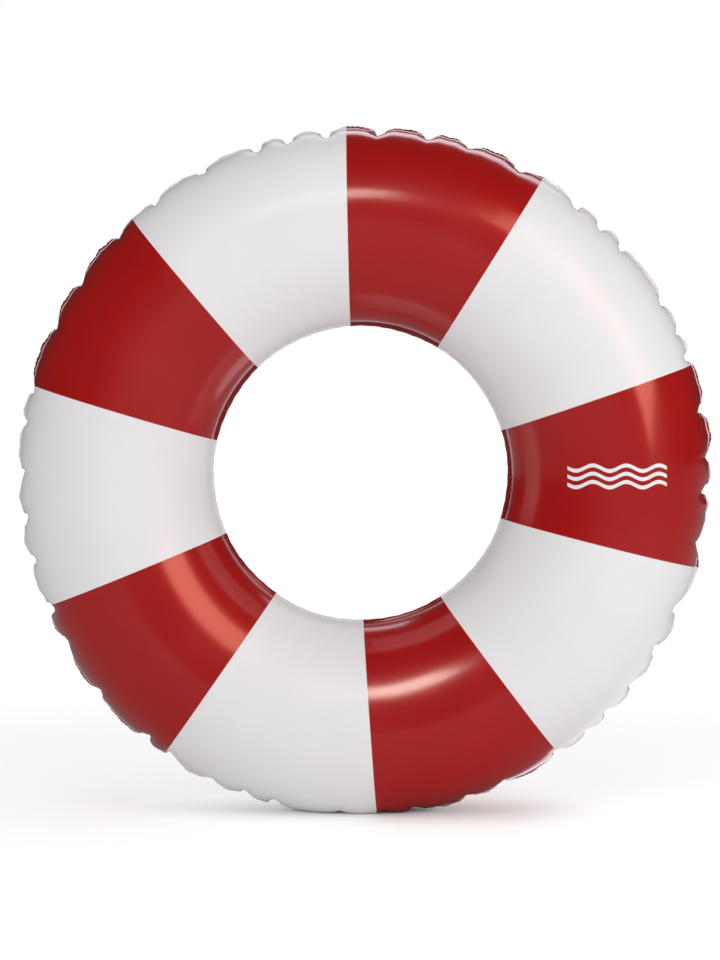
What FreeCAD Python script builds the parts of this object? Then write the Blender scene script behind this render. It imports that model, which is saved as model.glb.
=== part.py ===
import FreeCAD, Part
import math
import os

# Inflatable swim ring of two welded film sheets, standing on its rim, with a two-way valve on the back.
# Millimetres. X right, Y from the front face to the back, Z up from the floor.
# The ring's axis is parallel to Y.

# Ring
SEAM_INNER_R = 234.5      # where the tube leaves the weld around the hole
SEAM_OUTER_R = 528.5      # where the tube leaves the weld around the rim
WELD_WIDTH = 5.5          # flat flange beyond each seam
TUBE_DEPTH = 138.0        # from the weld plane to the crest of each sheet
FILM = 0.4                # film thickness
SAG = 1.5                 # how far the rim is pressed flat by the floor

# Valve, on the back crest; its axis is along +Y and heights are from the film
VALVE_ANGLE = 180.0       # place around the ring, degrees from +X towards +Z
BASE_FLANGE_R = 31.0
BASE_FLANGE_T = 1.2
FILM_HOLE_R = 19.8
NECK_OUTER_R = 19.5
NECK_BORE_R = 17.0
NECK_LOW = -9.0
NECK_HIGH = 5.0
RUN_GAP = 0.3             # air between pieces that move past each other

# Screw-in insert
SKIRT_OUTER_R = 16.6
SKIRT_INNER_R = 14.8
SKIRT_LOW = -8.0
GASKET_T = 1.2
HEAD_R = 22.0
HEAD_T = 3.0
GRIPS = 18
GRIP_R = 2.0
GRIP_CENTRE_R = 23.3
INLET_R = 8.5
PLUG_SEAT_R = 8.9
PLUG_SEAT_DEPTH = 3.4
INLET_OUTER_R = 10.3
INLET_LOW = -5.5
WEB_T = 1.6
WEBS = 3

# Flip cap; its hinge is on the +Z side of the insert
CAP_R = 13.0
CAP_T = 2.0
CAP_SEAL_INNER_R = 9.0
CAP_SEAL_OUTER_R = 12.0
CAP_SEAL_T = 0.6
PLUG_TOP_R = 8.5
PLUG_END_R = 8.0
PLUG_REACH = 3.0
PLUG_HOLLOW_R = 5.5
CAP_HINGE_UP = 16.5
CAP_HINGE_OVER_HEAD = 2.0
CAP_BARREL_R = 1.6
CAP_BARREL_BORE_R = 1.2
CAP_BARREL_HALF = 4.5
CAP_PIN_R = 0.9
CAP_PIN_REACH = 3.0
LUG_T = 3.0
LUG_R = 1.9
LUG_GAP = 0.4
TAB_REACH = 17.0
TAB_HALF = 4.0

# Check flap, hinged on the +Z side of the inlet
FLAP_R = 10.0
FLAP_T = 0.8
FLAP_HINGE_UP = 12.4
FLAP_AXIS_Y = -6.2
FLAP_BARREL_R = 1.3
FLAP_NECK_HALF = 2.3
FLAP_SWING = 50.0
CLIP_SOCKET_R = 1.6
CLIP_HALF = 2.6
CLIP_LOW = -8.4
CLIP_HIGH = -3.4
CLIP_SLOT_GAP = 0.25

# Worked out from the above
TUBE_R = (SEAM_INNER_R + SEAM_OUTER_R) / 2
TUBE_HALF = (SEAM_OUTER_R - SEAM_INNER_R) / 2
CENTRE_Z = SEAM_OUTER_R - SAG
VALVE_X = TUBE_R * math.cos(math.radians(VALVE_ANGLE))
VALVE_Z = CENTRE_Z + TUBE_R * math.sin(math.radians(VALVE_ANGLE))
GASKET_LOW = NECK_HIGH + RUN_GAP
HEAD_LOW = GASKET_LOW + GASKET_T + RUN_GAP
HEAD_HIGH = HEAD_LOW + HEAD_T
CAP_SEAL_LOW = HEAD_HIGH + RUN_GAP
CAP_LOW = CAP_SEAL_LOW + CAP_SEAL_T
CAP_HIGH = CAP_LOW + CAP_T
CAP_AXIS_Y = HEAD_HIGH + CAP_HINGE_OVER_HEAD
FAR = 700.0
BACK = FreeCAD.Vector(0, 1, 0)


def ring_solid(face):
    """A face in the XY plane, turned about Y and set at the ring's centre height."""
    solid = face.revolve(FreeCAD.Vector(0, 0, 0), BACK, 360)
    solid.translate(FreeCAD.Vector(0, 0, CENTRE_Z))
    return solid


def half_tube(inset, side):
    """One half of the inflated tube, its wall set in by inset; side is -1 for the front half, 1 for the back."""
    across = TUBE_HALF - inset
    deep = TUBE_DEPTH - inset
    centre = FreeCAD.Vector(TUBE_R, 0, 0)
    right = centre + FreeCAD.Vector(across, 0, 0)
    left = centre - FreeCAD.Vector(across, 0, 0)
    crest = centre + FreeCAD.Vector(0, deep, 0)
    start = 0 if side > 0 else math.pi
    curve = Part.Ellipse(right, crest, centre).toShape(start, start + math.pi)
    wire = Part.Wire([curve, Part.makeLine(left, right)])
    return ring_solid(Part.Face(wire))


def weld_flange(inner, outer, side):
    """A flat film ring that lies against the weld plane."""
    low = 0 if side > 0 else -FILM
    corners = [(inner, low), (outer, low), (outer, low + FILM), (inner, low + FILM), (inner, low)]
    wire = Part.makePolygon([FreeCAD.Vector(x, y, 0) for x, y in corners])
    return ring_solid(Part.Face(wire))


def above(shape, level):
    """The part of a shape that is higher than level."""
    keep = Part.makeBox(2 * FAR, 2 * FAR, 2 * FAR, FreeCAD.Vector(-FAR, -FAR, level))
    return shape.common(keep)


def sheet(side):
    """One welded film sheet with its two flanges, flat where it stands on the floor."""
    skin = half_tube(0, side)
    skin = skin.fuse(weld_flange(SEAM_INNER_R - WELD_WIDTH, SEAM_INNER_R + 1, side))
    skin = skin.fuse(weld_flange(SEAM_OUTER_R - 1, SEAM_OUTER_R + WELD_WIDTH, side))
    return above(skin, 0).cut(above(half_tube(FILM, side), FILM))


def rod(radius, low, high, end_radius=None):
    """A rod along the valve's axis between two heights, tapered if end_radius is the radius at low."""
    foot = FreeCAD.Vector(VALVE_X, TUBE_DEPTH + low, VALVE_Z)
    if end_radius is None:
        return Part.makeCylinder(radius, high - low, foot, BACK)
    return Part.makeCone(end_radius, radius, high - low, foot, BACK)


def tube(outer, inner, low, high):
    return rod(outer, low, high).cut(rod(inner, low - 1, high + 1))


def bar(radius, up, height, left, right):
    """A rod along X, at a place above the valve's axis and a height over the film."""
    foot = FreeCAD.Vector(VALVE_X + left, TUBE_DEPTH + height, VALVE_Z + up)
    return Part.makeCylinder(radius, right - left, foot, FreeCAD.Vector(1, 0, 0))


def block(half, low, high, up_low, up_high):
    """A box about the valve's centre plane, half its width each way."""
    corner = FreeCAD.Vector(VALVE_X - half, TUBE_DEPTH + low, VALVE_Z + up_low)
    return Part.makeBox(2 * half, high - low, up_high - up_low, corner)


def both_sides(shape):
    """A shape and its mirror image about the valve's centre plane."""
    return shape.fuse(shape.mirror(FreeCAD.Vector(VALVE_X, 0, 0), FreeCAD.Vector(1, 0, 0)))


def valve_base():
    """The welded flange, which follows the inside of the film, and the neck that stands through it."""
    layer = half_tube(FILM, 1).cut(half_tube(FILM + BASE_FLANGE_T, 1))
    flange = layer.common(rod(BASE_FLANGE_R, -20, 10))
    body = flange.fuse(rod(NECK_OUTER_R, NECK_LOW, NECK_HIGH))
    return body.cut(rod(NECK_BORE_R, NECK_LOW - 1, NECK_HIGH + 1))


def insert_gasket():
    return tube(NECK_OUTER_R, NECK_BORE_R, GASKET_LOW, GASKET_LOW + GASKET_T)


def grip_notches():
    """The scallops around the insert's head."""
    notch = rod(GRIP_R, HEAD_LOW - 1, HEAD_HIGH + 1)
    notches = []
    for k in range(GRIPS):
        angle = 2 * math.pi * (k + 0.5) / GRIPS
        move = FreeCAD.Vector(GRIP_CENTRE_R * math.cos(angle), 0, GRIP_CENTRE_R * math.sin(angle))
        notches.append(notch.translated(move))
    return Part.makeCompound(notches)


def insert_webs():
    """The ribs between the insert's skirt and its inlet tube."""
    half = WEB_T / 2
    web = block(half, 0, HEAD_LOW, INLET_OUTER_R - 0.5, SKIRT_INNER_R + 0.5)
    centre = FreeCAD.Vector(VALVE_X, 0, VALVE_Z)
    webs = []
    for k in range(WEBS):
        turned = web.copy()
        turned.rotate(centre, BACK, 180 + (k - 1) * 90)
        webs.append(turned)
    return Part.makeCompound(webs)


def cap_lugs():
    """The two ears that carry the cap's hinge pins."""
    near = CAP_BARREL_HALF + LUG_GAP
    far = near + LUG_T
    top = bar(LUG_R, CAP_HINGE_UP, CAP_AXIS_Y, near, far)
    up_low = VALVE_Z + CAP_HINGE_UP - LUG_R
    foot = FreeCAD.Vector(VALVE_X + near, TUBE_DEPTH + HEAD_HIGH - 0.5, up_low)
    leg = Part.makeBox(LUG_T, CAP_HINGE_OVER_HEAD + 0.5, 2 * LUG_R, foot)
    pin = bar(CAP_PIN_R, CAP_HINGE_UP, CAP_AXIS_Y, near - CAP_PIN_REACH, far)
    return both_sides(top.fuse(leg).fuse(pin))


def valve_insert():
    """The screw-in insert: gripped head, skirt in the neck, and the inflation inlet with the plug's seat."""
    head = rod(HEAD_R, HEAD_LOW, HEAD_HIGH).cut(grip_notches())
    body = head.fuse(tube(SKIRT_OUTER_R, SKIRT_INNER_R, SKIRT_LOW, HEAD_LOW + 0.5))
    body = body.fuse(rod(INLET_OUTER_R, INLET_LOW, HEAD_LOW + 0.5))
    body = body.fuse(insert_webs())
    body = body.cut(rod(INLET_R, INLET_LOW - 1, HEAD_HIGH + 1))
    body = body.cut(rod(PLUG_SEAT_R, HEAD_HIGH - PLUG_SEAT_DEPTH, HEAD_HIGH + 1))
    return body.fuse(cap_lugs())


def check_flap():
    """The non-return flap: a disc below the inlet with a barrel on its neck."""
    half = FLAP_T / 2
    disc = rod(FLAP_R, FLAP_AXIS_Y - half, FLAP_AXIS_Y + half)
    neck = block(FLAP_NECK_HALF, FLAP_AXIS_Y - half, FLAP_AXIS_Y + half, 5, FLAP_HINGE_UP)
    barrel = bar(FLAP_BARREL_R, FLAP_HINGE_UP, FLAP_AXIS_Y, -FLAP_NECK_HALF, FLAP_NECK_HALF)
    return disc.fuse(neck).fuse(barrel)


def flap_slot():
    """The room in the clip that the flap's neck swings through."""
    gap = FLAP_T / 2 + CLIP_SLOT_GAP
    swing = math.radians(FLAP_SWING + 1)
    reach = 9.0
    low = (gap * math.sin(swing), -gap * math.cos(swing))
    end = (low[0] - reach * math.cos(swing), low[1] - reach * math.sin(swing))
    corners = [(0, gap), (-reach, gap), (-reach, end[1]), end, low, (0, gap)]
    points = []
    for up, height in corners:
        x = VALVE_X - CLIP_HALF - 1
        y = TUBE_DEPTH + FLAP_AXIS_Y + height
        points.append(FreeCAD.Vector(x, y, VALVE_Z + FLAP_HINGE_UP + up))
    face = Part.Face(Part.makePolygon(points))
    return face.extrude(FreeCAD.Vector(2 * CLIP_HALF + 2, 0, 0))


def flap_clip():
    """The socket that the flap's barrel snaps into, between the inlet tube and the skirt."""
    body = block(CLIP_HALF, CLIP_LOW, CLIP_HIGH, 5, 20)
    body = body.common(rod(SKIRT_INNER_R, CLIP_LOW - 1, CLIP_HIGH + 1))
    body = body.cut(rod(INLET_OUTER_R, CLIP_LOW - 1, CLIP_HIGH + 1))
    socket = bar(CLIP_SOCKET_R, FLAP_HINGE_UP, FLAP_AXIS_Y, -CLIP_HALF - 1, CLIP_HALF + 1)
    return body.cut(socket).cut(flap_slot())


def cap():
    """The flip cap: disc, tapered plug, thumb tab and hinge barrel."""
    disc = rod(CAP_R, CAP_LOW, CAP_HIGH)
    arm = block(CAP_BARREL_HALF, CAP_LOW, CAP_HIGH, 0, CAP_HINGE_UP)
    tab = block(TAB_HALF, CAP_LOW, CAP_HIGH, -TAB_REACH + TAB_HALF, 0)
    tab_end = rod(TAB_HALF, CAP_LOW, CAP_HIGH).translated(FreeCAD.Vector(0, 0, -TAB_REACH + TAB_HALF))
    barrel = bar(CAP_BARREL_R, CAP_HINGE_UP, CAP_AXIS_Y, -CAP_BARREL_HALF, CAP_BARREL_HALF)
    plug_low = HEAD_HIGH - PLUG_REACH
    plug = rod(PLUG_TOP_R, plug_low, CAP_LOW, PLUG_END_R)
    body = disc.fuse(arm).fuse(tab).fuse(tab_end).fuse(barrel).fuse(plug)
    body = body.cut(rod(PLUG_HOLLOW_R, plug_low - 1, CAP_LOW))
    bore = bar(CAP_BARREL_BORE_R, CAP_HINGE_UP, CAP_AXIS_Y, -CAP_BARREL_HALF - 1, CAP_BARREL_HALF + 1)
    return body.cut(bore)


def cap_seal():
    return tube(CAP_SEAL_OUTER_R, CAP_SEAL_INNER_R, CAP_SEAL_LOW, CAP_LOW)


os.makedirs("parts", exist_ok=True)
back = sheet(1).cut(rod(FILM_HOLE_R, -20, 10))
nodes = {
    "front_sheet": sheet(-1),
    "back_sheet": back,
    "valve_base": valve_base(),
    "insert_gasket": insert_gasket(),
    "valve_insert": valve_insert(),
    "check_flap": check_flap(),
    "flap_clip": flap_clip(),
    "cap": cap(),
    "cap_seal": cap_seal(),
}
for name, shape in nodes.items():
    clean = shape.removeSplitter()
    assert clean.isValid() and len(clean.Solids) == 1, name
    clean.Solids[0].exportStep(f"parts/{name}.step")
    box = clean.BoundBox
    print(f"{name}: {clean.Volume / 1000:.2f} cm3, y {box.YMin:.1f} to {box.YMax:.1f}, z {box.ZMin:.1f} to {box.ZMax:.1f}")
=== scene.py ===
import math

import bmesh
import bpy
import numpy as np
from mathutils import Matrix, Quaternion, Vector


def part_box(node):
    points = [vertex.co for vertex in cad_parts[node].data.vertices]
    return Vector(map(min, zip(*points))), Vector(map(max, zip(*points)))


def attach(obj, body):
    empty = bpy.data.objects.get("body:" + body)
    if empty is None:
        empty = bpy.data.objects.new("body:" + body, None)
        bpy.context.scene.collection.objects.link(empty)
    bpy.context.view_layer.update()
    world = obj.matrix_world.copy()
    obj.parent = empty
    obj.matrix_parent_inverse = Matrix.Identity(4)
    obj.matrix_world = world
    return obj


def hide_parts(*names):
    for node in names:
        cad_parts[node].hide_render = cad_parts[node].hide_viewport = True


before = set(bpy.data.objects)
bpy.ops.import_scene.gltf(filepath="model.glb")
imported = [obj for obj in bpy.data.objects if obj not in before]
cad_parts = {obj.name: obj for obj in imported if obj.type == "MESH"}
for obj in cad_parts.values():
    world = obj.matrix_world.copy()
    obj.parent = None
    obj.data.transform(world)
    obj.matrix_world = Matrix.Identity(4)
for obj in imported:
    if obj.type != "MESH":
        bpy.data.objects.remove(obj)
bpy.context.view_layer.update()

TURN = 2 * math.pi

# The ring, in metres, as in the CAD model
SEAM_INNER_R = 0.2345
SEAM_OUTER_R = 0.5285
WELD_WIDTH = 0.0055
TUBE_DEPTH = 0.138
FILM = 0.0004
TUBE_R = (SEAM_INNER_R + SEAM_OUTER_R) / 2
TUBE_HALF = (SEAM_OUTER_R - SEAM_INNER_R) / 2
CENTRE_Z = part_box("front_sheet")[1].z - SEAM_OUTER_R - WELD_WIDTH

# The valve's axis and its hole in the back sheet
VALVE_X = -TUBE_R
FILM_HOLE_R = 0.0198


# ---------------------------------------------------------------- film shape

# The crest of the inflated section stands a little outwards of the middle, as air pressure makes it.
# Within VALVE_FLAT of the valve the back film keeps the CAD section, and it leaves it over VALVE_BLEND, in
# radians round the ring.
CREST_SKEW = 0.12
VALVE_FLAT = 0.14
VALVE_BLEND = 0.45

# The rim stands a little proud of the plain tube, and more so towards one side
RIM_RISE = 0.0045
RIM_LEAN = 0.0050
RIM_LEAN_ANGLE = -0.10

# Rows of the film grid: the gaps grow from the outer seam, and the last rows have set distances to the inner
FIRST_ROW_GAP = 0.0018
ROW_GAP_GROWTH = 1.12
LARGEST_ROW_GAP = 0.011
EVEN_ROWS_END = 0.020
LAST_ROWS = (0.012, 0.006, 0.0025, 0.0)

# Columns of the film grid, crowded towards the notches
PUCKERS = 46
COLUMNS_PER_PUCKER = 16
COLUMN_CROWDING = 0.74

# The notches: gaps between them against the mean, depth, half width and how far in they reach
SEED = 11
GAP_RANGE = (0.55, 1.45)
DEPTH_LEAST = 0.0085
DEPTH_SPAN = 0.0115
DEPTH_SHAPE = (1.5, 1.3)
HALF_LEAST = 0.0036
HALF_PER_DEPTH = 0.32
HALF_RANGE = (0.8, 1.3)
REACH_LEAST = 0.010
REACH_PER_DEPTH = 1.05
REACH_RANGE = (0.75, 1.35)
NOTCH_SHOULDER = 0.13
NOTCH_FALLOFF = 1.25
NOTCH_WIDENING = 0.035

# How a notch's fold slants, and how far the seam stands off the middle plane there
SKEW_RANGE = (-0.25, 0.25)
SKEW_REACH = 0.060
SIDE_RANGE = (-0.0032, 0.0032)
SIDE_REACH = 0.050

# The lobe after each notch: how round its corners are, which way it leans and how far it puffs out
ROUND_POWER = 1.3
LEAN_RANGE = (0.7, 1.45)
PUFF_RANGE = (0.0010, 0.0028)
SCALLOP = 0.0050
SCALLOP_POWER = 2.6
SCALLOP_REACH = 0.085
SCALLOP_FALLOFF = 1.7

# How far the flange tilts at the notches and between them, in radians
FOLD_RANGE = (1.15, 1.45)
FLAT_RANGE = (0.15, 1.05)

# Small ripples along the seam, and how far they and the slow wander of the outline reach in
RIPPLE = 0.00045
RIPPLE_REACH = 0.050
WANDER_REACH = 0.150

# At the outer seam the outer face stands one film thickness off the middle plane, over this length
EDGE_REACH = 0.001

# Where the ring stands, the film is pressed flat below this height, and what is below the floor moves back
# by this share of how far below it is
FLOOR_SOFT = 0.003
FLOOR_SPREAD = 0.5


def eased(part):
    """A smooth rise from 0 to 1 as part goes from 0 to 1."""
    return part * part * (3 - 2 * part)


def section_rows():
    """Angles round the tube's section from the outer seam to the inner one, and their distances along it."""
    fine = np.linspace(0, math.pi, 2001)
    step = np.hypot(np.diff(TUBE_HALF * np.cos(fine)), np.diff(TUBE_DEPTH * np.sin(fine)))
    length = np.concatenate([[0], np.cumsum(step)])
    stops = [0.0]
    gap = FIRST_ROW_GAP
    while stops[-1] + gap < length[-1] - EVEN_ROWS_END:
        stops.append(stops[-1] + gap)
        gap = min(gap * ROW_GAP_GROWTH, LARGEST_ROW_GAP)
    stops += [length[-1] - before_end for before_end in LAST_ROWS]
    stops = np.array(stops)
    return np.interp(stops, length, fine), stops


def puckers():
    """The notches of the outer weld and the lobe after each: one array for each property."""
    rng = np.random.default_rng(SEED)
    gaps = rng.uniform(*GAP_RANGE, PUCKERS)
    depth = DEPTH_LEAST + DEPTH_SPAN * rng.beta(*DEPTH_SHAPE, PUCKERS)
    return {
        "angle": (np.cumsum(gaps) - gaps[0] / 2) / gaps.sum() * TURN,
        "depth": depth,
        "half": HALF_LEAST + HALF_PER_DEPTH * depth * rng.uniform(*HALF_RANGE, PUCKERS),
        "reach": REACH_LEAST + REACH_PER_DEPTH * depth * rng.uniform(*REACH_RANGE, PUCKERS),
        "skew": rng.uniform(*SKEW_RANGE, PUCKERS),
        "side": rng.uniform(*SIDE_RANGE, PUCKERS),
        "round": rng.uniform(0.0, 1.0, PUCKERS) ** ROUND_POWER,
        "lean": rng.uniform(*LEAN_RANGE, PUCKERS),
        "puff": rng.uniform(*PUFF_RANGE, PUCKERS),
        "fold": rng.uniform(*FOLD_RANGE, PUCKERS),
        "flat": rng.uniform(*FLAT_RANGE, PUCKERS),
    }


def column_places():
    """For each column of the film grid, the notch before it and how far it is towards the next."""
    x = np.arange(COLUMNS_PER_PUCKER) / COLUMNS_PER_PUCKER
    part = x - COLUMN_CROWDING * np.sin(TURN * x) / TURN
    before = np.repeat(np.arange(PUCKERS), COLUMNS_PER_PUCKER)
    return before, np.tile(part, PUCKERS)


def even_places(p, columns):
    """The same for evenly spaced columns round the seam, with their angles."""
    theta = np.arange(columns) / columns * TURN
    before = (np.searchsorted(p["angle"], theta, side="right") - 1) % PUCKERS
    after = (before + 1) % PUCKERS
    whole = (p["angle"][after] - p["angle"][before]) % TURN
    part = ((theta - p["angle"][before]) % TURN) / whole
    return theta, before, part


def pinch(p, k, across, s):
    """How far notch k draws the film in, at a distance across it and a distance s from the seam."""
    t = 1 - across / (p["half"][k] * (1 + s / NOTCH_WIDENING))
    corner = (t + np.sqrt(t * t + NOTCH_SHOULDER ** 2)) / 2
    return p["depth"][k] * np.exp(-(s / p["reach"][k]) ** NOTCH_FALLOFF) * corner


def drawn_in(p, before, part, near, far, theta, s):
    """How far the film lies inside the plain tube, with all effects of the puckered seam added."""
    after = (before + 1) % PUCKERS
    notches = np.maximum(pinch(p, before, near, s), pinch(p, after, far, s))
    fade = np.clip(1 - s / SCALLOP_REACH, 0, 1) ** SCALLOP_FALLOFF
    from_middle = np.abs(2 * part ** p["lean"][before] - 1)
    scallop = SCALLOP * p["round"][before] * fade * from_middle ** SCALLOP_POWER
    puff = p["puff"][before] * fade * (1 - from_middle ** 2)
    ripple = RIPPLE * (np.sin(97 * theta + 0.5) + np.sin(143 * theta + 2.0) * np.sin(11 * theta))
    slow = 0.0016 * np.sin(2 * theta + 0.6) + 0.0011 * np.sin(3 * theta + 2.1)
    wander = slow + 0.0007 * np.sin(7 * theta)
    drawn = notches + scallop - puff + ripple * np.exp(-s / RIPPLE_REACH)
    return drawn - wander * np.exp(-s / WANDER_REACH)


def seam_side(p, before, part):
    """How far the seam wanders in front of or behind the middle plane."""
    after = (before + 1) % PUCKERS
    ease = eased(part)
    return p["side"][before] * (1 - ease) + p["side"][after] * ease


def tube(theta, phi, side):
    """Radius, depth and outward normal of the plain inflated tube; side is -1 in front and 1 behind."""
    skew = CREST_SKEW
    if side > 0:
        off_valve = np.abs((theta % TURN) - math.pi) - VALVE_FLAT
        skew = CREST_SKEW * eased(np.clip(off_valve / VALVE_BLEND, 0, 1))
    rise = RIM_RISE + RIM_LEAN * np.cos(theta - RIM_LEAN_ANGLE)
    rho = TUBE_R + TUBE_HALF * np.cos(phi) + rise * ((1 + np.cos(phi)) / 2) ** 1.5
    deep = TUBE_DEPTH * np.sin(phi) * (1 + skew * np.cos(phi))
    normal_r = TUBE_DEPTH * (np.cos(phi) + skew * np.cos(2 * phi))
    normal_y = TUBE_HALF * np.sin(phi)
    length = np.hypot(normal_r, normal_y)
    return rho, deep, normal_r / length, normal_y / length


def in_space(theta, rho, y):
    """Points in space from the angle round the ring, the radius and the depth, pressed flat at the floor."""
    points = np.stack([rho * np.cos(theta), y, CENTRE_Z + rho * np.sin(theta)], axis=-1)
    z = points[..., 2]
    pressed = FLOOR_SOFT * np.exp(np.clip((z - FLOOR_SOFT) / FLOOR_SOFT, -20, 0))
    points[..., 1] = np.where(z < 0, points[..., 1] - z * FLOOR_SPREAD, points[..., 1])
    points[..., 2] = np.where(z < FLOOR_SOFT, pressed, z)
    return points


def outer_face(side):
    """The outer face of one sheet, as a grid of points, rows from the outer seam to the inner one."""
    p = puckers()
    phi, s = section_rows()
    phi = phi[:, None]
    s = s[:, None]
    before, part = column_places()
    after = (before + 1) % PUCKERS
    lean = np.exp(-s / SKEW_REACH) * s / SEAM_OUTER_R
    start = p["angle"][before] + p["skew"][before] * lean
    end = p["angle"][after] + np.where(after == 0, TURN, 0.0) + p["skew"][after] * lean
    theta = start + (end - start) * part
    rho, deep, normal_r, normal_y = tube(theta, phi, side)
    near = rho * (theta - start)
    far = rho * (end - theta)
    drawn = drawn_in(p, before, part, near, far, theta, s)
    off_plane = seam_side(p, before, part) * np.exp(-s / SIDE_REACH)
    y = side * (deep - drawn * normal_y) + off_plane + side * FILM * np.exp(-s / EDGE_REACH)
    return in_space(theta, rho - drawn * normal_r, y)


def inner_face(outside, side):
    """The inner face of a sheet, one film thickness inside its outer face."""
    around = np.roll(outside, -1, axis=1) - np.roll(outside, 1, axis=1)
    along = np.gradient(outside, axis=0)
    normal = np.cross(around, along) * side
    normal /= np.linalg.norm(normal, axis=-1, keepdims=True)
    inside = outside - FILM * normal
    for row in (0, -1):
        inside[row] = outside[row]
        inside[row, :, 1] -= side * FILM
    return inside


def ring_faces(rows, columns, first, closed=False):
    """The faces of a grid that closes on itself sideways; with closed, its last row also joins its first."""
    r, c = np.meshgrid(np.arange(rows if closed else rows - 1), np.arange(columns), indexing="ij")
    up = (r + 1) % rows
    n = (c + 1) % columns
    corners = [r * columns + c, r * columns + n, up * columns + n, up * columns + c]
    return np.stack(corners, axis=-1).reshape(-1, 4) + first


def edge_faces(row_a, row_b, columns):
    """The faces between two rings of vertices, which start at row_a and row_b."""
    c = np.arange(columns)
    n = (c + 1) % columns
    return np.stack([row_a + c, row_a + n, row_b + n, row_b + c], axis=-1)


def mesh_object(name, vertices, faces):
    """A smooth-shaded mesh object, its faces turned outwards."""
    mesh = bpy.data.meshes.new(name)
    mesh.from_pydata(vertices.tolist(), [], faces)
    shape = bmesh.new()
    shape.from_mesh(mesh)
    bmesh.ops.recalc_face_normals(shape, faces=shape.faces)
    shape.to_mesh(mesh)
    shape.free()
    mesh.polygons.foreach_set("use_smooth", np.ones(len(mesh.polygons), bool))
    mesh.update()
    piece = bpy.data.objects.new(name, mesh)
    bpy.context.scene.collection.objects.link(piece)
    return piece


# ---------------------------------------------------------------- valve patch

# Radius from the valve's axis and height above the film of each ring of the patch, a weld with three low ribs
PATCH_RINGS = [
    (0.0360, 0.0), (0.0335, 0.0), (0.0325, 0.0001), (0.0316, 0.0005), (0.0306, 0.0006),
    (0.0298, 0.0003), (0.0288, 0.0003), (0.0281, 0.0007), (0.0273, 0.0007), (0.0266, 0.0003),
    (0.0258, 0.0003), (0.0251, 0.0007), (0.0243, 0.0007), (0.0236, 0.0003), (0.0224, 0.0003),
    (0.0212, 0.0003), (0.0203, 0.0002), (FILM_HOLE_R, 0.0),
]
# Film cells within PATCH_CLEAR make way for the patch, which has PATCH_SPLIT columns for each of theirs
PATCH_CLEAR = 0.041
PATCH_SPLIT = 3


def patch_points(angles, sunk):
    """The rings of the patch round the valve, sunk below the film's outer face by so much."""
    rings = []
    for radius, height in PATCH_RINGS:
        x = VALVE_X + radius * np.cos(angles)
        z = radius * np.sin(angles)
        across = np.clip((np.hypot(x, z) - TUBE_R) / TUBE_HALF, -1, 1)
        y = TUBE_DEPTH * np.sqrt(1 - across ** 2) + height - sunk
        rings.append(np.stack([x, y, CENTRE_Z + z], axis=-1))
    return np.concatenate(rings)


def patch_side(wall, vertices, sunk):
    """One side of the patch: its points, its faces, joined to the vertices in wall, and its column count."""
    first = len(vertices)
    angle = np.arctan2(vertices[wall, 2] - CENTRE_Z, vertices[wall, 0] - VALVE_X)
    order = np.argsort(angle)
    wall = wall[order]
    angle = angle[order]
    gap = (np.roll(angle, -1) - angle) % TURN
    split = (angle[:, None] + gap[:, None] * np.arange(PATCH_SPLIT) / PATCH_SPLIT).ravel()
    size = len(split)
    faces = []
    for i, a in enumerate(wall):
        b = wall[(i + 1) % len(wall)]
        r = [first + (PATCH_SPLIT * i + j) % size for j in range(PATCH_SPLIT + 1)]
        faces += [(a, r[0], r[1]), (a, r[1], r[2], b), (b, r[2], r[3])]
    faces += ring_faces(len(PATCH_RINGS), size, first).tolist()
    return patch_points(split, sunk), faces, size


def cut_valve_hole(vertices, faces, wall_size):
    """Takes out the film's cells round the valve and fills in a patch with a clean round hole."""
    spread = np.hypot(vertices[:, 0] - VALVE_X, vertices[:, 2] - CENTRE_Z)
    close = (spread < PATCH_CLEAR) & (vertices[:, 1] > TUBE_DEPTH / 2)
    gone = close[faces].any(axis=1)
    kept = faces[~gone]
    border = np.intersect1d(faces[gone], kept)
    faces = kept.tolist()
    hole_edges = []
    for wall, sunk in ((border[border < wall_size], 0.0), (border[border >= wall_size], FILM)):
        points, made, size = patch_side(wall, vertices, sunk)
        vertices = np.vstack([vertices, points])
        faces += made
        hole_edges.append(len(vertices) - size)
    faces += edge_faces(hole_edges[0], hole_edges[1], size).tolist()
    return vertices, faces


def film_piece(name, side):
    """One closed film sheet."""
    outside = outer_face(side)
    inside = inner_face(outside, side)
    rows, columns = outside.shape[:2]
    total = rows * columns
    faces = np.vstack([
        ring_faces(rows, columns, 0),
        ring_faces(rows, columns, total),
        edge_faces(0, total, columns),
        edge_faces(total - columns, 2 * total - columns, columns),
    ])
    vertices = np.vstack([outside.reshape(-1, 3), inside.reshape(-1, 3)])
    if side > 0:
        vertices, faces = cut_valve_hole(vertices, faces, total)
    else:
        faces = faces.tolist()
    return mesh_object(name, vertices, faces)


# ---------------------------------------------------------------- welds

# Reach beyond the seam, height and how far the knurling shows, once round the flange's section
WELD_PROFILE = [
    (0.0000, 0.0009, 0), (0.0010, 0.00095, 0), (0.0017, 0.0005, 0.4), (0.0030, 0.00045, 1),
    (0.0044, 0.00045, 1), (0.0052, 0.0004, 1), (0.0055, 0.0, 0.3), (0.0052, -0.0004, 1),
    (0.0044, -0.00045, 1), (0.0030, -0.00045, 1), (0.0017, -0.0005, 0.4), (0.0010, -0.00095, 0),
    (0.0000, -0.0009, 0),
]

# The outer flange: its knurling, its ragged cut edge, and how it folds at the notches
OUTER_COLUMNS = 4600
OUTER_KNURLS = 920
OUTER_TOOTH = 0.00016
OUTER_RAGGED = 0.0004
FOLD_WIDTH = 1.9
FOLD_DRAWN = 0.45
FLUTTER = 0.25

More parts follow.
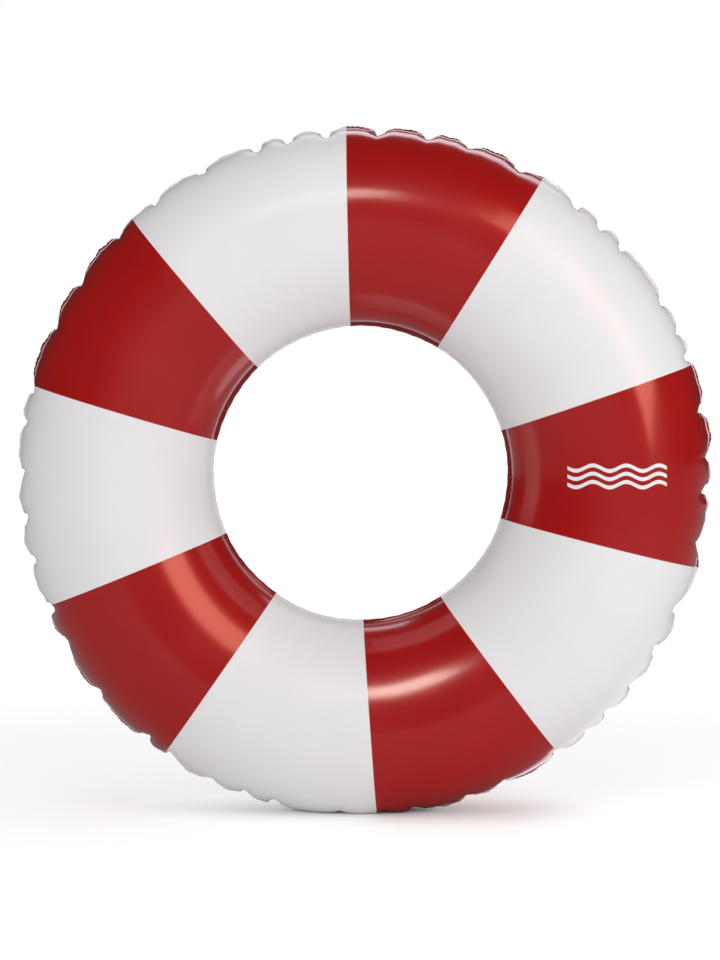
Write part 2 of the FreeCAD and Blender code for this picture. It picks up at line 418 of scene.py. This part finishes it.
# The thin bead at its root
BEAD_COLUMNS = 3680
BEAD_SIDES = 10
BEAD_ACROSS = 0.0012
BEAD_DEEP = 0.0018
BEAD_OUT = 0.0010

# The inner flange, whose cut edge drifts in and out a little
INNER_COLUMNS = 1600
INNER_KNURLS = 320
INNER_TOOTH = 0.00010
INNER_DRIFT = 0.0004
INNER_JITTER = 0.00025


def seam_line(columns):
    """The outer seam at even angles: angle, radius, depth, nearness to a notch and the flange's tilt."""
    p = puckers()
    theta, before, part = even_places(p, columns)
    after = (before + 1) % PUCKERS
    rho = tube(theta, 0.0, -1)[0]
    near = rho * ((theta - p["angle"][before]) % TURN)
    far = rho * ((p["angle"][after] - theta) % TURN)
    rho = rho - drawn_in(p, before, part, near, far, theta, 0.0)
    folded_near = np.exp(-(near / (p["half"][before] * FOLD_WIDTH)) ** 2)
    folded_far = np.exp(-(far / (p["half"][after] * FOLD_WIDTH)) ** 2)
    flat = p["flat"][before] + FLUTTER * np.sin(31 * theta)
    tilt = flat * (1 - folded_near) * (1 - folded_far)
    tilt = tilt + p["fold"][before] * folded_near + p["fold"][after] * folded_far
    return theta, rho, seam_side(p, before, part), np.maximum(folded_near, folded_far), tilt


def looped_piece(name, rows):
    """A closed tube round the ring, from the rows of points along it."""
    grid = np.array(rows)
    faces = ring_faces(len(rows), grid.shape[1], 0, closed=True)
    return mesh_object(name, grid.reshape(-1, 3), faces.tolist())


def outer_weld():
    """The flat flange beyond the outer seam, knurled by the welding press and folded back at each notch."""
    theta, rho, y, folded, tilt = seam_line(OUTER_COLUMNS)
    edge = OUTER_RAGGED * (np.sin(411 * theta) + np.sin(137 * theta + 1))
    rows = []
    for reach, height, knurled in WELD_PROFILE:
        tooth = OUTER_TOOTH * np.sin(OUTER_KNURLS * theta) * knurled
        out = reach * (1 - FOLD_DRAWN * folded) + edge * (reach / WELD_WIDTH) ** 4
        up = height + np.sign(height) * tooth
        radius = rho + out * np.cos(tilt) - up * np.sin(tilt)
        rows.append(in_space(theta, radius, y + out * np.sin(tilt) + up * np.cos(tilt)))
    return looped_piece("outer_weld", rows)


def outer_bead():
    """The thin bead of squeezed-out film at the root of the outer weld."""
    theta, rho, y, _, _ = seam_line(BEAD_COLUMNS)
    rows = []
    for i in range(BEAD_SIDES):
        turn = TURN * i / BEAD_SIDES
        radius = rho + BEAD_OUT + BEAD_ACROSS * math.cos(turn)
        rows.append(in_space(theta, radius, y + BEAD_DEEP * math.sin(turn)))
    return looped_piece("outer_bead", rows)


def inner_weld():
    """The flat flange round the hole, a little wavy, with the same section as the outer one."""
    theta = np.arange(INNER_COLUMNS) / INNER_COLUMNS * TURN
    wave = 0.0007 * np.sin(5 * theta + 1) + 0.0005 * np.sin(13 * theta)
    rows = []
    for reach, height, knurled in WELD_PROFILE:
        tooth = INNER_TOOTH * np.sin(INNER_KNURLS * theta) * knurled
        at_edge = (reach / WELD_WIDTH) ** 3
        drift = INNER_DRIFT * np.sin(9 * theta) * at_edge + INNER_JITTER * np.sin(61 * theta) * at_edge
        up = height + np.sign(height) * tooth
        rows.append(in_space(theta, SEAM_INNER_R - reach + drift, wave * reach / WELD_WIDTH + up))
    return looped_piece("inner_weld", rows)


# ---------------------------------------------------------------- materials

class Graph:
    """Adds nodes to a material and joins them."""

    def __init__(self, name):
        self.material = bpy.data.materials.new(name)
        self.material.use_nodes = True
        self.tree = self.material.node_tree
        self.shader = self.tree.nodes["Principled BSDF"]

    def node(self, kind, **settings):
        made = self.tree.nodes.new(kind)
        for key, value in settings.items():
            setattr(made, key, value)
        return made

    def put(self, value, socket):
        """Joins another node's output to a socket, or sets the socket to a plain value."""
        if isinstance(value, bpy.types.NodeSocket):
            self.tree.links.new(value, socket)
        else:
            socket.default_value = value

    def math(self, operation, *values):
        made = self.node("ShaderNodeMath", operation=operation)
        for value, socket in zip(values, made.inputs):
            self.put(value, socket)
        return made.outputs[0]

    def mix(self, amount, a, b):
        """Colour a where amount is 0 and colour b where it is 1."""
        made = self.node("ShaderNodeMix", data_type="RGBA")
        self.put(amount, made.inputs["Factor"])
        self.put(a, made.inputs["A"])
        self.put(b, made.inputs["B"])
        return made.outputs["Result"]

    def blend(self, amount, low, high):
        """A number that is low where amount is 0 and high where it is 1."""
        return self.math("MULTIPLY_ADD", amount, high - low, low)

    def position(self):
        """The object's coordinates, whole and as separate x, y and z."""
        coords = self.node("ShaderNodeTexCoord").outputs["Object"]
        parts = self.node("ShaderNodeSeparateXYZ")
        self.put(coords, parts.inputs[0])
        return coords, parts.outputs

    def noise(self, coords, scale, detail=3.0, roughness=0.5):
        made = self.node("ShaderNodeTexNoise")
        self.put(coords, made.inputs["Vector"])
        made.inputs["Scale"].default_value = scale
        made.inputs["Detail"].default_value = detail
        made.inputs["Roughness"].default_value = roughness
        return made.outputs["Fac"]

    def map_range(self, value, from_range, to_range, kind="LINEAR"):
        """A value in one range moved to another and kept inside it."""
        made = self.node("ShaderNodeMapRange", interpolation_type=kind)
        self.put(value, made.inputs["Value"])
        made.inputs["From Min"].default_value = from_range[0]
        made.inputs["From Max"].default_value = from_range[1]
        made.inputs["To Min"].default_value = to_range[0]
        made.inputs["To Max"].default_value = to_range[1]
        return made.outputs["Result"]

    def spread(self, noise, low, high):
        """A noise, which mostly stays inside NOISE_RANGE, spread over low to high."""
        return self.map_range(noise, NOISE_RANGE, (low, high))

    def bump(self, height, distance, strength, normal=None):
        """Relief from a height, on top of another normal if there is one."""
        made = self.node("ShaderNodeBump")
        self.put(height, made.inputs["Height"])
        made.inputs["Distance"].default_value = distance
        made.inputs["Strength"].default_value = strength
        if normal is not None:
            self.put(normal, made.inputs["Normal"])
        return made.outputs["Normal"]


NOISE_RANGE = (0.25, 0.75)

# The print, in degrees: five red panels, the first edge of one, its width and the step to the next
PRINT_X = -0.0110
PRINT_Z = CENTRE_Z - 0.0137
PRINT_FIRST = 58.05
PRINT_RED = 33.1
PRINT_PERIOD = 72.0

# A plain mark of three wave lines on the right-hand red panel
MARK_X = 0.390
MARK_Z = CENTRE_Z - 0.002
MARK_WIDTH = 0.150
MARK_ROWS = 3
MARK_PITCH = 0.0125
MARK_LINE = 0.0058
MARK_SWELL = 0.0042
MARK_WAVES = 3

# Colours of the printed film, and of its welded flanges, which are darker: partly where the two sheets show
# through each other, and partly painted shade of the rim
RED_LOW = (0.365, 0.0022, 0.0018, 1)
RED_HIGH = (0.405, 0.0036, 0.0030, 1)
WHITE_LOW = (0.815, 0.795, 0.805, 1)
WHITE_HIGH = (0.855, 0.840, 0.850, 1)
FLANGE_RED_LOW = (0.180, 0.0020, 0.0030, 1)
FLANGE_RED_HIGH = (0.260, 0.0040, 0.0060, 1)
FLANGE_WHITE_LOW = (0.70, 0.70, 0.71, 1)
FLANGE_WHITE_HIGH = (0.78, 0.78, 0.79, 1)

# The gloss of the printed red, and of the bare white film, which is more satin
PRINT_ROUGHNESS = 0.21
FLANGE_ROUGHNESS = 0.22
PRINT_SPECULAR = 0.5
PRINT_COAT = 0.42
SATIN_ROUGHNESS = 0.33
SATIN_SPECULAR = 0.14
SATIN_COAT = 0.05
COAT_ROUGHNESS = 0.13
FILM_IOR = 1.50

# Noise in the film's colour and gloss: slow mottle and fine specks
MOTTLE_SCALE = 9.0
SPECK_SCALE = 420.0
MOTTLE_ROUGHNESS = 0.025
SPECK_ROUGHNESS = 0.010

# Relief of the film: scale of each noise, then depth and strength of the relief from it
STRETCH_AROUND = 26.0
STRETCH_ALONG = 5.0
STRETCH_START = 0.43
STRETCH_RELIEF = (0.003, 0.10)
BUCKLE_SCALE = 22.0
BUCKLE_RELIEF = (0.004, 0.04)
SPECK_RELIEF = (0.0004, 0.03)


def wave_mark(g, x, y, z):
    """1 on the three wave lines of the mark and 0 off them; the mark is on the front only."""
    across = g.math("SUBTRACT", x, MARK_X)
    up = g.math("SUBTRACT", z, MARK_Z)
    turn = g.math("MULTIPLY", across, TURN * MARK_WAVES / MARK_WIDTH)
    level = g.math("SUBTRACT", up, g.math("MULTIPLY", g.math("SINE", turn), MARK_SWELL))
    shifted = g.math("ADD", level, MARK_ROWS * MARK_PITCH / 2)
    in_row = g.math("FLOORED_MODULO", shifted, MARK_PITCH)
    off_line = g.math("ABSOLUTE", g.math("SUBTRACT", in_row, MARK_PITCH / 2))
    on_line = g.math("LESS_THAN", off_line, MARK_LINE / 2)
    in_rows = g.math("LESS_THAN", g.math("ABSOLUTE", level), MARK_ROWS * MARK_PITCH / 2)
    in_width = g.math("LESS_THAN", g.math("ABSOLUTE", across), MARK_WIDTH / 2)
    front = g.math("LESS_THAN", y, 0.0)
    return g.math("MULTIPLY", g.math("MULTIPLY", on_line, in_rows), g.math("MULTIPLY", in_width, front))


def red_panels(g, x, z):
    """1 on the five red panels and 0 on the white ones."""
    across = g.math("SUBTRACT", x, PRINT_X)
    up = g.math("SUBTRACT", z, PRINT_Z)
    angle = g.math("MULTIPLY", g.math("ARCTAN2", up, across), 180 / math.pi)
    # Whole periods are added to keep the angle above zero
    turned = g.math("ADD", g.math("SUBTRACT", angle, PRINT_FIRST), 10 * PRINT_PERIOD)
    return g.math("LESS_THAN", g.math("MODULO", turned, PRINT_PERIOD), PRINT_RED)


def film_relief(g, coords, x, z, speck):
    """Fine relief of the film: slow buckles, stretch lines that run to the puckered seam, and a fine grain."""
    height = g.math("SUBTRACT", z, CENTRE_Z)
    radius = g.math("SQRT", g.math("ADD", g.math("MULTIPLY", x, x), g.math("MULTIPLY", height, height)))
    angle = g.math("ARCTAN2", height, x)
    polar = g.node("ShaderNodeCombineXYZ")
    g.put(g.math("MULTIPLY", g.math("SINE", angle), STRETCH_AROUND), polar.inputs[0])
    g.put(g.math("MULTIPLY", g.math("COSINE", angle), STRETCH_AROUND), polar.inputs[1])
    g.put(g.math("MULTIPLY", radius, STRETCH_ALONG), polar.inputs[2])
    lines = g.noise(polar.outputs[0], 1.0, 3.0, 0.55)
    near_seam = g.map_range(radius, (STRETCH_START, SEAM_OUTER_R), (0.0, 1.0), "SMOOTHSTEP")
    normal = g.bump(g.noise(coords, BUCKLE_SCALE, 3.0, 0.45), *BUCKLE_RELIEF)
    normal = g.bump(g.math("MULTIPLY", lines, near_seam), *STRETCH_RELIEF, normal)
    return g.bump(speck, *SPECK_RELIEF, normal)


def printed_film(name, reds, whites, roughness, marked):
    """Glossy PVC film, white with five red panels printed on it."""
    g = Graph(name)
    coords, (x, y, z) = g.position()
    red = red_panels(g, x, z)
    if marked:
        red = g.math("MULTIPLY", red, g.math("SUBTRACT", 1.0, wave_mark(g, x, y, z)))
    mottle = g.noise(coords, MOTTLE_SCALE, 4.0)
    speck = g.noise(coords, SPECK_SCALE, 2.0)
    tone = g.math("ADD", g.spread(mottle, 0.0, 0.75), g.spread(speck, 0.0, 0.25))
    g.put(g.mix(red, g.mix(tone, *whites), g.mix(tone, *reds)), g.shader.inputs["Base Color"])
    slow = g.spread(mottle, -MOTTLE_ROUGHNESS, MOTTLE_ROUGHNESS)
    cloudy = g.math("ADD", slow, g.spread(speck, -SPECK_ROUGHNESS, SPECK_ROUGHNESS))
    g.put(g.math("ADD", g.blend(red, SATIN_ROUGHNESS, roughness), cloudy), g.shader.inputs["Roughness"])
    g.put(g.blend(red, SATIN_SPECULAR, PRINT_SPECULAR), g.shader.inputs["Specular IOR Level"])
    g.put(g.blend(red, SATIN_COAT, PRINT_COAT), g.shader.inputs["Coat Weight"])
    g.put(film_relief(g, coords, x, z, speck), g.shader.inputs["Normal"])
    g.shader.inputs["Coat Roughness"].default_value = COAT_ROUGHNESS
    g.shader.inputs["IOR"].default_value = FILM_IOR
    return g.material


# Moulded parts: scale of the cloudy colour, the flow marks and the grain, and the relief of the last two
CLOUD_SCALE = 60.0
FLOW_SCALE = 240.0
GRAIN_SCALE = 1400.0
FLOW_RELIEF = (0.0006, 0.12)
GRAIN_RELIEF = (0.0002, 0.25)
CLOUD_ROUGHNESS = 0.05
FLOW_ROUGHNESS = 0.03


def moulded(name, dark, light, roughness):
    """Moulded plastic or rubber with a fine grain and slight colour variation."""
    g = Graph(name)
    coords, _ = g.position()
    cloud = g.noise(coords, CLOUD_SCALE, 3.0)
    grain = g.noise(coords, GRAIN_SCALE, 2.0)
    flow = g.noise(coords, FLOW_SCALE, 4.0, 0.6)
    tone = g.math("ADD", g.spread(cloud, 0.0, 0.7), g.spread(flow, 0.0, 0.3))
    g.put(g.mix(tone, dark, light), g.shader.inputs["Base Color"])
    slow = g.spread(cloud, roughness - CLOUD_ROUGHNESS, roughness + CLOUD_ROUGHNESS)
    fast = g.spread(flow, -FLOW_ROUGHNESS, FLOW_ROUGHNESS)
    g.put(g.math("ADD", slow, fast), g.shader.inputs["Roughness"])
    g.put(g.bump(grain, *GRAIN_RELIEF, g.bump(flow, *FLOW_RELIEF)), g.shader.inputs["Normal"])
    return g.material


# ---------------------------------------------------------------- pieces

film = printed_film("printed_film", (RED_LOW, RED_HIGH), (WHITE_LOW, WHITE_HIGH), PRINT_ROUGHNESS, True)
# The flanges' darker colours are partly painted shade of the rim
flange = printed_film(
    "welded_film", (FLANGE_RED_LOW, FLANGE_RED_HIGH), (FLANGE_WHITE_LOW, FLANGE_WHITE_HIGH),
    FLANGE_ROUGHNESS, False)
bead = moulded("weld_bead", (0.80, 0.66, 0.68, 1), (0.90, 0.78, 0.79, 1), 0.20)


def add_piece(piece, material, node=None):
    """Gives a film piece its material and its body, and hides the CAD node it replaces, if it does."""
    piece.data.materials.append(material)
    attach(piece, "ring")
    if node:
        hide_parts(node)


front_film = film_piece("front_film", -1)
back_film = film_piece("back_film", 1)
add_piece(front_film, film, "front_sheet")
add_piece(back_film, film, "back_sheet")
add_piece(outer_weld(), flange)
add_piece(outer_bead(), bead)
add_piece(inner_weld(), flange)

# The valve's parts are the CAD ones
vinyl = moulded("valve_vinyl", (0.74, 0.77, 0.80, 1), (0.82, 0.84, 0.86, 1), 0.32)
plastic = moulded("valve_plastic", (0.82, 0.83, 0.84, 1), (0.88, 0.885, 0.89, 1), 0.42)
rubber = moulded("seal_rubber", (0.020, 0.021, 0.024, 1), (0.035, 0.036, 0.040, 1), 0.62)
NODE_MATERIALS = {
    "valve_base": vinyl,
    "insert_gasket": rubber,
    "valve_insert": plastic,
    "check_flap": rubber,
    "flap_clip": plastic,
    "cap": plastic,
    "cap_seal": rubber,
}
for name, material in NODE_MATERIALS.items():
    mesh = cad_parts[name].data
    mesh.materials.clear()
    mesh.materials.append(material)


# ---------------------------------------------------------------- floor and light

# The floor glows a little, more beyond the ring than under it, and less to bounced light and in reflections
FLOOR_HALF = 30.0
FLOOR_LOW = (0.79, 0.79, 0.79, 1)
FLOOR_HIGH = (0.81, 0.81, 0.81, 1)
FLOOR_CLOUD_SCALE = 1.5
FLOOR_ROUGHNESS = 0.9
FLOOR_GLOW_NEAR = 0.45
FLOOR_GLOW_FAR = 0.66
FLOOR_GLOW_RANGE = (0.8, 4.0)
FLOOR_BOUNCE = 0.20
FLOOR_MIRRORED = 0.45

# The painted contact shadow, an occlusion test that darkens the floor for the camera only: how far it reaches,
# how strong it is, and its samples
FLOOR_CONTACT = 0.11
FLOOR_CONTACT_STRENGTH = 0.15
FLOOR_CONTACT_SAMPLES = 16


def painted_contact_shadow(g, camera_ray):
    """A painted contact shadow: 1 on open floor and less where something stands close to it; only the camera
    sees it.
    """
    near_object = g.node("ShaderNodeAmbientOcclusion", samples=FLOOR_CONTACT_SAMPLES)
    near_object.inputs["Distance"].default_value = FLOOR_CONTACT
    return g.math("POWER", near_object.outputs["AO"], g.math("MULTIPLY", camera_ray, FLOOR_CONTACT_STRENGTH))


def floor_material():
    """A pale matt floor, white to the camera away from the painted contact shadow, and dimmer to everything
    else.
    """
    g = Graph("pale_floor")
    coords, _ = g.position()
    path = g.node("ShaderNodeLightPath").outputs
    cloud = g.noise(coords, FLOOR_CLOUD_SCALE, 2.0)
    pale = g.mix(g.spread(cloud, 0.0, 1.0), FLOOR_LOW, FLOOR_HIGH)
    # Painted contact shadow: it darkens the floor's colour and its glow where the ring stands close, for the
    # camera only
    outside_painted_shadow = painted_contact_shadow(g, path["Is Camera Ray"])
    dim = g.math("MULTIPLY", path["Is Glossy Ray"], 1 - FLOOR_MIRRORED)
    lit = g.math("MULTIPLY", outside_painted_shadow, g.math("SUBTRACT", 1.0, dim))
    g.put(g.mix(g.math("SUBTRACT", 1.0, lit), pale, (0, 0, 0, 1)), g.shader.inputs["Base Color"])
    away = g.node("ShaderNodeVectorMath", operation="LENGTH")
    g.put(coords, away.inputs[0])
    glow_range = (FLOOR_GLOW_NEAR, FLOOR_GLOW_FAR)
    glow = g.map_range(away.outputs["Value"], FLOOR_GLOW_RANGE, glow_range, "SMOOTHSTEP")
    seen = g.math("MULTIPLY", g.math("MULTIPLY", path["Is Camera Ray"], glow), outside_painted_shadow)
    bounced = g.math("MULTIPLY", path["Is Diffuse Ray"], FLOOR_BOUNCE)
    g.put(g.math("ADD", seen, bounced), g.shader.inputs["Emission Strength"])
    g.shader.inputs["Emission Color"].default_value = (1, 1, 1, 1)
    g.shader.inputs["Roughness"].default_value = FLOOR_ROUGHNESS
    g.shader.inputs["Specular IOR Level"].default_value = 0.0
    return g.material


def add_floor():
    """A large flat floor at height zero."""
    outline = [(-1, -1, 0), (1, -1, 0), (1, 1, 0), (-1, 1, 0)]
    floor = mesh_object("studio_floor", FLOOR_HALF * np.array(outline), [(0, 1, 2, 3)])
    floor.data.materials.append(floor_material())


# The world's brightness on the left, on the right, and in reflections
WORLD_LEFT = 0.56
WORLD_RIGHT = 0.64
WORLD_GLOSSY = 0.03


def mapped(tree, value, low, high, from_low=0.0):
    """A map range node in a tree: value from from_low to 1 becomes low to high."""
    made = tree.nodes.new("ShaderNodeMapRange")
    tree.links.new(value, made.inputs["Value"])
    made.inputs["From Min"].default_value = from_low
    for number, socket in ((low, made.inputs["To Min"]), (high, made.inputs["To Max"])):
        if isinstance(number, bpy.types.NodeSocket):
            tree.links.new(number, socket)
        else:
            socket.default_value = number
    return made.outputs["Result"]


def add_world():
    """White to the camera, soft grey light that is brighter on the right, and a dark studio in reflections."""
    world = bpy.data.worlds.new("studio")
    bpy.context.scene.world = world
    world.use_nodes = True
    tree = world.node_tree
    path = tree.nodes.new("ShaderNodeLightPath")
    direction = tree.nodes.new("ShaderNodeSeparateXYZ")
    tree.links.new(tree.nodes.new("ShaderNodeTexCoord").outputs["Generated"], direction.inputs[0])
    soft = mapped(tree, direction.outputs[0], WORLD_LEFT, WORLD_RIGHT, -1.0)
    mirrored = mapped(tree, path.outputs["Is Glossy Ray"], soft, WORLD_GLOSSY)
    seen = mapped(tree, path.outputs["Is Camera Ray"], mirrored, 1.0)
    tree.links.new(seen, tree.nodes["Background"].inputs["Strength"])
    tree.nodes["Background"].inputs["Color"].default_value = (1, 1, 1, 1)


def area_light(name, spot, target, width, height, radiance, diffuse=True, glossy=True,
               spread=180, colour=(1, 1, 1), roll=0):
    """A rectangular softbox that the camera doesn't see, as bright as radiance says; angles in degrees."""
    data = bpy.data.lights.new(name, "AREA")
    data.shape = "RECTANGLE"
    data.size = width
    data.size_y = height
    data.energy = radiance * math.pi * width * height
    data.spread = math.radians(spread)
    data.color = colour
    light = bpy.data.objects.new(name, data)
    bpy.context.scene.collection.objects.link(light)
    light.location = spot
    aim = (Vector(target) - Vector(spot)).to_track_quat("-Z", "Y")
    light.rotation_euler = (aim @ Quaternion((0, 0, 1), math.radians(roll))).to_euler()
    light.visible_camera = False
    light.visible_diffuse = diffuse
    light.visible_glossy = glossy


WARM = (1.0, 0.84, 0.74)
ROSY = (1.0, 0.42, 0.30)
LILAC = (0.98, 0.91, 1.0)


def add_lights():
    """Softboxes for the diffuse light, and separate ones that make the highlights and rims."""
    middle = (0, 0, CENTRE_Z)
    high = (0.1, 0, CENTRE_Z + 0.4)
    near_floor = (0.0, -0.6, 0.0)
    area_light("key", (-0.26, -1.99, CENTRE_Z + 1.27), near_floor, width=0.72, height=0.46, radiance=4.4,
               diffuse=False, spread=95, colour=WARM)
    area_light("soft_key", (0.2, -2.2, CENTRE_Z + 2.0), middle, width=1.3, height=1.0, radiance=1.9,
               glossy=False)
    area_light("right_box", (1.85, -1.45, CENTRE_Z + 0.50), middle, width=1.0, height=1.2, radiance=1.9,
               glossy=False)
    area_light("right_glow", (1.43, -1.64, CENTRE_Z + 1.00), middle, width=1.10, height=1.6, radiance=6.2,
               diffuse=False, colour=ROSY, roll=35)
    area_light("front_fill", (0.3, -4.2, CENTRE_Z + 0.8), middle, width=3.4, height=2.6, radiance=1.02,
               glossy=False)
    area_light("rim_top", (0.30, 1.6, CENTRE_Z + 1.60), high, width=1.7, height=0.55, radiance=1.9,
               diffuse=False, colour=LILAC)
    area_light("floor_glint", (0.52, 0.36, 0.004), (0.52, 0.36, 1.0), width=0.75, height=0.6, radiance=1.15,
               diffuse=False, colour=LILAC)
    area_light("hole_card", (0.0, 1.5, CENTRE_Z), middle, width=1.1, height=1.1, radiance=0.62,
               diffuse=False, colour=LILAC)


# ---------------------------------------------------------------- camera

CAMERA_LENS = 110.6
CAMERA_SENSOR = 36
CAMERA_DISTANCE = 4.6
CAMERA_ELEVATION = math.radians(1.5)
CAMERA_AZIMUTH = math.radians(0.4)
CAMERA_TARGET = (-0.001, 0, CENTRE_Z - 0.011)


def add_camera():
    """The camera, in front of the ring and level with it but for a degree or two."""
    data = bpy.data.cameras.new("camera")
    camera = bpy.data.objects.new("camera", data)
    bpy.context.scene.collection.objects.link(camera)
    data.lens = CAMERA_LENS
    data.sensor_width = CAMERA_SENSOR
    level = math.cos(CAMERA_ELEVATION)
    back = Vector((
        math.sin(CAMERA_AZIMUTH) * level,
        -math.cos(CAMERA_AZIMUTH) * level,
        math.sin(CAMERA_ELEVATION),
    ))
    camera.location = Vector(CAMERA_TARGET) + back * CAMERA_DISTANCE
    camera.rotation_euler = (-back).to_track_quat("-Z", "Y").to_euler()
    bpy.context.scene.camera = camera


add_floor()
add_world()
add_lights()
add_camera()
bpy.context.scene.view_settings.view_transform = "Standard"
